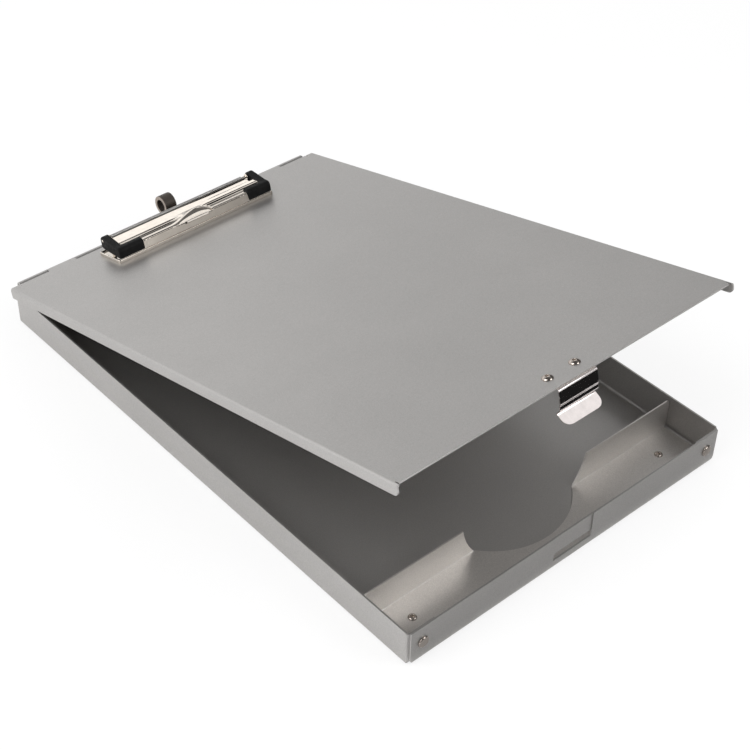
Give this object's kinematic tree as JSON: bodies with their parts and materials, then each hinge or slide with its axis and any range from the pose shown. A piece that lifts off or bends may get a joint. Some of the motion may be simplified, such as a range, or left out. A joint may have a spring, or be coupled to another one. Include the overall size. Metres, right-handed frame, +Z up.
{
  "type": "storage clipboard box",
  "caption": "Shallow aluminium tray with a pen compartment under a hinged writing lid that carries a sprung paper clip and a snap latch.",
  "frame": {"origin": "centre of the tray's underside, on the surface that it lies on", "axes": "+X to the right across the box, +Y back towards the hinge, +Z up; the lid is drawn 15 degrees open"},
  "size_m": [0.235, 0.366, 0.1171],
  "materials": {
    "aluminium": "satin, fine blasted and anodised",
    "bright_nickel": "bright nickel plate",
    "rivet_metal": "polished",
    "spring_steel": "dull",
    "lever_steel": "dark matte roll with nickel edges",
    "black_rubber": "matte"
  },
  "bodies": {
    "tray": {"tray_shell": "aluminium", "pen_divider": "aluminium", "divider_rivet_left": "rivet_metal", "divider_rivet_right": "rivet_metal", "front_rivet_left": "rivet_metal", "front_rivet_right": "rivet_metal", "hinge_leaf": "aluminium", "hinge_leaf_rivets": "rivet_metal", "hinge_pin": "spring_steel"},
    "lid": {"lid_panel": "aluminium", "latch_foot": "bright_nickel", "latch_rivet_left": "rivet_metal", "latch_rivet_right": "rivet_metal", "clip_base": "bright_nickel", "clip_rivet_left": "rivet_metal", "clip_rivet_right": "rivet_metal", "clip_rod": "bright_nickel", "clip_spring": "spring_steel"},
    "latch": {"latch_leaf": "bright_nickel"},
    "clip_jaw": {"jaw_plate": "bright_nickel", "jaw_lever": "lever_steel", "jaw_cap_left": "black_rubber", "jaw_cap_right": "black_rubber"}
  },
  "joints": [
    {"name": "lid_hinge", "type": "hinge", "parent": "tray", "child": "lid", "pos_m": [0, 0.18, 0.0216], "axis": [-1, 0, 0], "range_deg": [-15, 140]},
    {"name": "jaw_hinge", "type": "hinge", "parent": "lid", "child": "clip_jaw", "pos_m": [0, 0.16577, 0.03918], "axis": [-1, 0, 0], "range_deg": [0, 7], "stiffness_Nm_per_rad": 0.05, "springref_deg": -20.05},
    {"name": "latch_flex", "type": "hinge", "parent": "lid", "child": "latch", "pos_m": [0, -0.16547, 0.11567], "axis": [-1, 0, 0], "range_deg": [0, 12], "stiffness_Nm_per_rad": 0.05}
  ]
}
